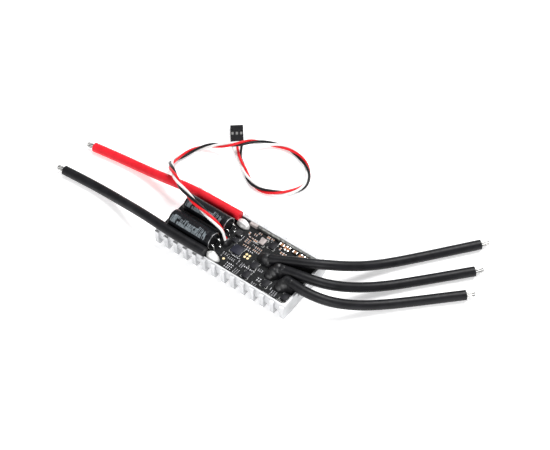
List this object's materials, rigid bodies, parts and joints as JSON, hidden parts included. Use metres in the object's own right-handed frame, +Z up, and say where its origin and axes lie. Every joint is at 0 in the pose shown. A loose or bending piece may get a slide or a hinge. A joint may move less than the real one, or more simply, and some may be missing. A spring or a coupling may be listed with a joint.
{
  "type": "electronic speed controller",
  "caption": "Brushless motor speed controller: a populated board in a finned heatsink tray, with can capacitors, battery and motor wires, and a twisted signal lead ending in a plug.",
  "frame": {"origin": "middle of the heatsink's underside, in the plane of the fin ends", "axes": "+X along the controller towards the motor wires, +Y across it towards the positive wire, +Z up from the fins to the board"},
  "size_m": [0.2364, 0.106, 0.0243],
  "materials": {
    "heatsink": "satin",
    "board": "satin solder mask",
    "thermal_pad": "matte",
    "tinned_metal": "bright solder",
    "gold_pads": "satin",
    "chip_black": "matte moulded",
    "module_lid": "satin",
    "inductor_body": "matte",
    "ceramic_tan": "satin",
    "resistor_black": "satin",
    "capacitor_sleeve": "gloss with a plain grey stripe",
    "capacitor_can": "satin",
    "bung_rubber": "matte",
    "adhesive": "satin",
    "sealant": "gloss",
    "bar_metal": "dull plated",
    "wire_black": "satin silicone",
    "wire_red": "satin silicone",
    "signal_insulation": "satin",
    "plug_black": "satin"
  },
  "bodies": {
    "root": {"battery_negative_joint": "tinned_metal", "battery_negative_tip": "tinned_metal", "battery_negative_wire": "wire_black", "battery_positive_joint": "tinned_metal", "battery_positive_tip": "tinned_metal", "battery_positive_wire": "wire_red", "bus_bar": "bar_metal", "bus_bar_tab": "tinned_metal", "capacitor_1_bung": "bung_rubber", "capacitor_1_can": "capacitor_can", "capacitor_1_leads": "tinned_metal", "capacitor_1_sleeve": "capacitor_sleeve", "capacitor_2_bung": "bung_rubber", "capacitor_2_can": "capacitor_can", "capacitor_2_leads": "tinned_metal", "capacitor_2_sleeve": "capacitor_sleeve", "capacitor_adhesive": "adhesive", "capacitor_joints": "tinned_metal", "chip_resistors": "resistor_black", "circuit_board": "board", "gate_drivers": "chip_black", "heatsink": "heatsink", "large_ceramic_capacitors": "ceramic_tan", "microcontroller": "chip_black", "motor_a_sealant": "sealant", "motor_a_tip": "tinned_metal", "motor_a_wire": "wire_black", "motor_b_sealant": "sealant", "motor_b_tip": "tinned_metal", "motor_b_wire": "wire_black", "motor_c_sealant": "sealant", "motor_c_tip": "tinned_metal", "motor_c_wire": "wire_black", "motor_solder_joints": "tinned_metal", "phase_a_transistors": "chip_black", "phase_b_transistors": "chip_black", "phase_c_transistors": "chip_black", "power_inductor": "inductor_body", "shielded_module": "module_lid", "signal_joints": "tinned_metal", "signal_lead": "signal_insulation", "signal_plug_housing": "plug_black", "signal_plug_terminals": "tinned_metal", "signal_sealant": "sealant", "small_ceramic_capacitors": "ceramic_tan", "test_pads": "gold_pads", "thermal_pad": "thermal_pad", "voltage_regulator": "chip_black"}
  },
  "joints": []
}
